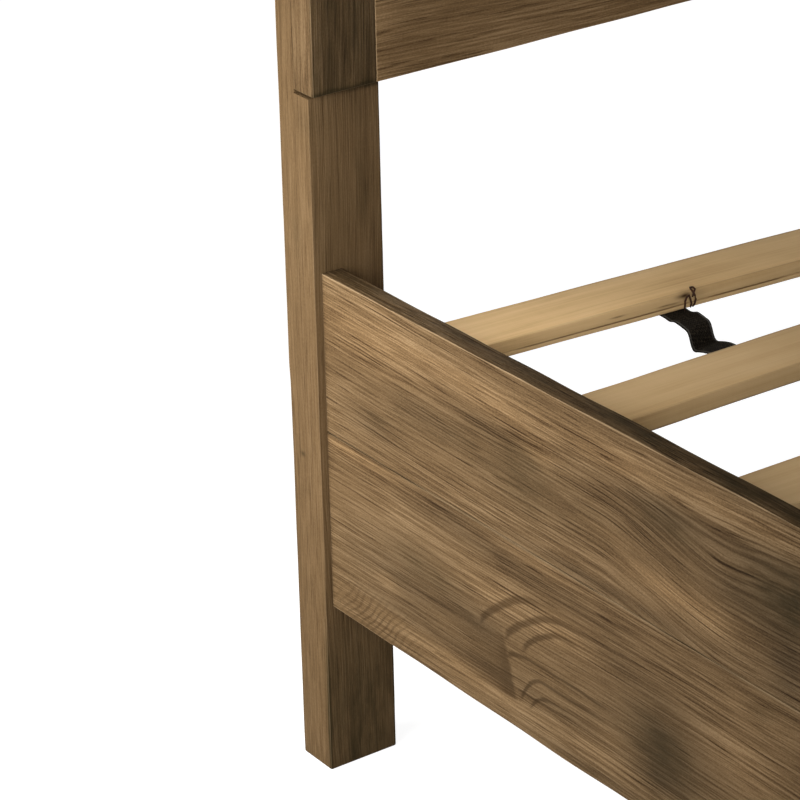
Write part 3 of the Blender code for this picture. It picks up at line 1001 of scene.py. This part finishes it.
def build_staples(paths, lies, material):
    """A pair of staples through the strap into each slat."""
    for side, path in paths.items():
        shake = random.Random(f"staples {side}")
        for number, (middle, turn, half) in enumerate(lies, start=1):
            x = min(path, key=lambda point: abs(point.y - middle.y)).x
            y = middle.y + (x - middle.x) * math.tan(turn) + shake.uniform(-0.006, 0.006)
            low = middle.z - half.z
            drop = low - STRAP_THICK - 0.0005
            crowns = []
            for offset in (-STAPLE_SPREAD, STAPLE_SPREAD):
                slant = shake.uniform(-0.0015, 0.0015)
                left = (x + offset - STAPLE_HALF, y - slant, low + STAPLE_DEPTH)
                right = (x + offset + STAPLE_HALF, y + slant, low + STAPLE_DEPTH)
                crowns.append([left, (left[0], left[1], drop), (right[0], right[1], drop), right])
            bent_wire(f"staple_{side}_{number:02d}", crowns, STAPLE_RADIUS, material)


def build_burst_staple(first_slat, material):
    """The first slat's left staple has burst out of its front: two wires bent up over the face and top."""
    middle, turn, half = first_slat
    low, high = middle.z - half.z, middle.z + half.z

    def wire(points):
        """Places (x, out from the slat's front, z) points in the bed."""
        front = middle.y - half.y / math.cos(turn)
        return [(x, front + (x - middle.x) * math.tan(turn) - out, z) for x, out, z in points]

    hook = wire([
        (-0.5345, 0.0006, low - 0.0016), (-0.5349, 0.0014, low + 0.003), (-0.5345, 0.0012, low + 0.007),
        (-0.5333, 0.0012, low + 0.0096), (-0.5312, 0.0014, low + 0.011), (-0.5299, 0.0013, low + 0.008),
        (-0.5288, 0.0014, low + 0.0038), (-0.5291, 0.0006, low + 0.0004),
    ])
    loop = wire([
        (-0.527, 0.0004, low + 0.0004), (-0.5258, 0.0015, low + 0.0032), (-0.525, 0.0017, low + 0.0066),
        (-0.5258, 0.0015, low + 0.0098), (-0.5272, 0.0012, high - 0.0012), (-0.5282, -0.0008, high + 0.0009),
        (-0.5268, -0.0032, high + 0.001), (-0.5246, -0.0028, high + 0.001),
        (-0.525, 0.0004, high + 0.0006), (-0.527, 0.0014, high - 0.0025), (-0.5284, 0.0018, low + 0.009),
    ])
    bent_wire("staple_burst", [hook, loop], BURST_RADIUS, material)


def build_straps():
    lies = [slat_lie(node) for node in SLATS]
    cloth = webbing("black_webbing")
    paths = {side: build_strap(side, lies, cloth) for side in ("left", "right")}
    wire = rusty_wire("rusty_wire")
    build_staples(paths, lies, wire)
    build_burst_staple(lies[0], wire)


# -------- steel and plastic


def zinc(name):
    """Zinc-plated steel: faint spangle, rolling scratches and duller patches."""
    graph = Graph(name)
    coordinate = graph.node("TexCoord").outputs["Object"]
    spangle = graph.cloud(coordinate, 160, 160, 2, 0.6, 0.5)
    scratches = graph.noise(graph.stretch(coordinate, (1900, 1900, 90)), 2, 0.6)
    dull = graph.fit(graph.cloud(coordinate, 28, 28, 3, 0.6), 0.35, 0.7)
    colour = graph.ramp(spangle, ((0.3, (0.4, 0.4, 0.39)), (0.7, (0.6, 0.6, 0.58))))
    colour = graph.mix(graph.times(dull, 0.4), colour, (0.27, 0.26, 0.24))
    roughness = graph.add(graph.times(dull, 0.22), graph.times(scratches, 0.12), 0.24)
    return graph.finish(colour, roughness, graph.bump(scratches, 0.15, 0.0002), metallic=0.92)


def moulded_plastic(name):
    """Black moulded plastic: a fine pebbled skin with paler scuffs."""
    graph = Graph(name)
    coordinate = graph.node("TexCoord").outputs["Object"]
    pebble = graph.cloud(coordinate, 1400, 1400, 2, 0.5)
    scuff = graph.fit(graph.noise(graph.stretch(coordinate, (130, 130, 60)), 3, 0.6), 0.5, 0.75)
    colour = graph.mix(graph.times(scuff, 0.5), (0.016, 0.016, 0.017), (0.06, 0.058, 0.055))
    return graph.finish(colour, graph.fit(scuff, 0, 1, 0.42, 0.65), graph.bump(pebble, 0.3, 0.0002))


def soften(node, width):
    """Eases a steel or plastic part's sharp arrises."""
    bevel = node.modifiers.new("eased", "BEVEL")
    bevel.width = width
    bevel.segments = 2
    bevel.limit_method = "ANGLE"


def finish_fittings():
    steel, plastic = zinc("zinc_steel"), moulded_plastic("moulded_plastic")
    for name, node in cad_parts.items():
        if name.startswith(("corner_bracket", "bracket_bolt", "beam_hanger", "level_stem", "level_pad")):
            node.data.materials.clear()
            node.data.materials.append(plastic if name.startswith("level_pad") else steel)
            soften(node, 0.0004 if "bolt" in name or "stem" in name else 0.0006)


# -------- stage, light and camera

CAMERA_PLACE = (-2.04514, -0.85865, 1.37088)
CAMERA_AZIMUTH = 34.063
CAMERA_PITCH = 24.432
CAMERA_ROLL = 1.829
CAMERA_LENS = 148.52
CAMERA_SHIFT = (0.0686, -0.0279)


def build_camera():
    data = bpy.data.cameras.new("photo_camera")
    data.lens = CAMERA_LENS
    data.sensor_width = 36
    data.shift_x, data.shift_y = CAMERA_SHIFT
    data.dof.use_dof = False
    data.clip_end = 60
    camera = add_object("photo_camera", data)
    turn = Matrix.Rotation(math.radians(-CAMERA_AZIMUTH), 4, "Z")
    tilt = Matrix.Rotation(math.radians(90 - CAMERA_PITCH), 4, "X")
    roll = Matrix.Rotation(math.radians(-CAMERA_ROLL), 4, "Z")
    camera.matrix_world = Matrix.Translation(CAMERA_PLACE) @ turn @ tilt @ roll
    bpy.context.scene.camera = camera


# name, place, target, size, power, spread in degrees
LIGHTS = (
    ("key", (-1.32, 1.12, 0.62), (-0.78, 1.32, 0.5), (0.84, 1.1), 16.4, 180),
    ("front", (-2.3, -2.9, 1.35), (-0.7, 0.63, 0.4), (1.56, 1.22), 72, 180),
    ("right", (3.2, -0.3, 0.9), (0.8, -0.2, 0.5), (1.8, 1.2), 42, 180),
    ("overhead", (0.55, -0.75, 2.6), (0.5, -0.7, 0), (1.2, 1.6), 15, 58),
    ("left_foot", (-2.3, -1.5, 0.9), (-0.8, -0.85, 0.3), (0.8, 1.2), 14, 80),
    ("back", (0.6, 3.2, 1.3), (0.2, 1, 0.8), (1.6, 1.2), 16, 180),
)
FLOOR_HALF = 14
FLOOR_Z = -0.0006
FLOOR_GLOW = 0.86
WORLD_LIGHT = 0.06
WORLD_SEEN = 1.05


def add_area_light(name, place, target, size, power, spread):
    data = bpy.data.lights.new(name, "AREA")
    data.shape = "RECTANGLE"
    data.size, data.size_y = size
    data.energy = power
    data.spread = math.radians(spread)
    light = add_object(name, data)
    aim = Vector(target) - Vector(place)
    light.matrix_world = Matrix.Translation(place) @ aim.to_track_quat("-Z", "Y").to_matrix().to_4x4()
    light.visible_camera = False


def build_floor():
    """A pale floor that glows for the camera only, so that it looks as white as the photo's."""
    corners = [(x * FLOOR_HALF, y * FLOOR_HALF, FLOOR_Z) for x, y in ((-1, -1), (1, -1), (1, 1), (-1, 1))]
    graph = Graph("pale_floor")
    glow = graph.times(graph.node("LightPath").outputs["Is Camera Ray"], FLOOR_GLOW)
    graph.feed(graph.shader.inputs["Emission Strength"], glow)
    graph.feed(graph.shader.inputs["Emission Color"], (1, 1, 1))
    graph.finish((0.34, 0.34, 0.34), 0.9, specular=0.05)
    add_mesh("studio_floor", corners, [(0, 1, 2, 3)], graph.material, {})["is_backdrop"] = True


def build_world():
    """A white background that gives little light of its own."""
    world = bpy.data.worlds.new("studio")
    world.use_nodes = True
    nodes, links = world.node_tree.nodes, world.node_tree.links
    background = nodes["Background"]
    background.inputs["Color"].default_value = (1, 1, 1, 1)
    sight = nodes.new("ShaderNodeLightPath")
    strength = nodes.new("ShaderNodeMapRange")
    strength.inputs["To Min"].default_value = WORLD_LIGHT
    strength.inputs["To Max"].default_value = WORLD_SEEN
    links.new(sight.outputs["Is Camera Ray"], strength.inputs["Value"])
    links.new(strength.outputs["Result"], background.inputs["Strength"])
    bpy.context.scene.world = world


def build_stage():
    build_floor()
    build_world()
    for light in LIGHTS:
        add_area_light(*light)
    scene = bpy.context.scene
    scene.view_settings.view_transform = "Standard"
    scene.view_settings.look = "None"


build_camera()
build_stage()
build_oak_boards()
build_pine_boards()
build_straps()
finish_fittings()

boxes = {"cad": cad_box, "visual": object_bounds()}
{name: [[float(x) for x in corner] for corner in box] for name, box in boxes.items()}
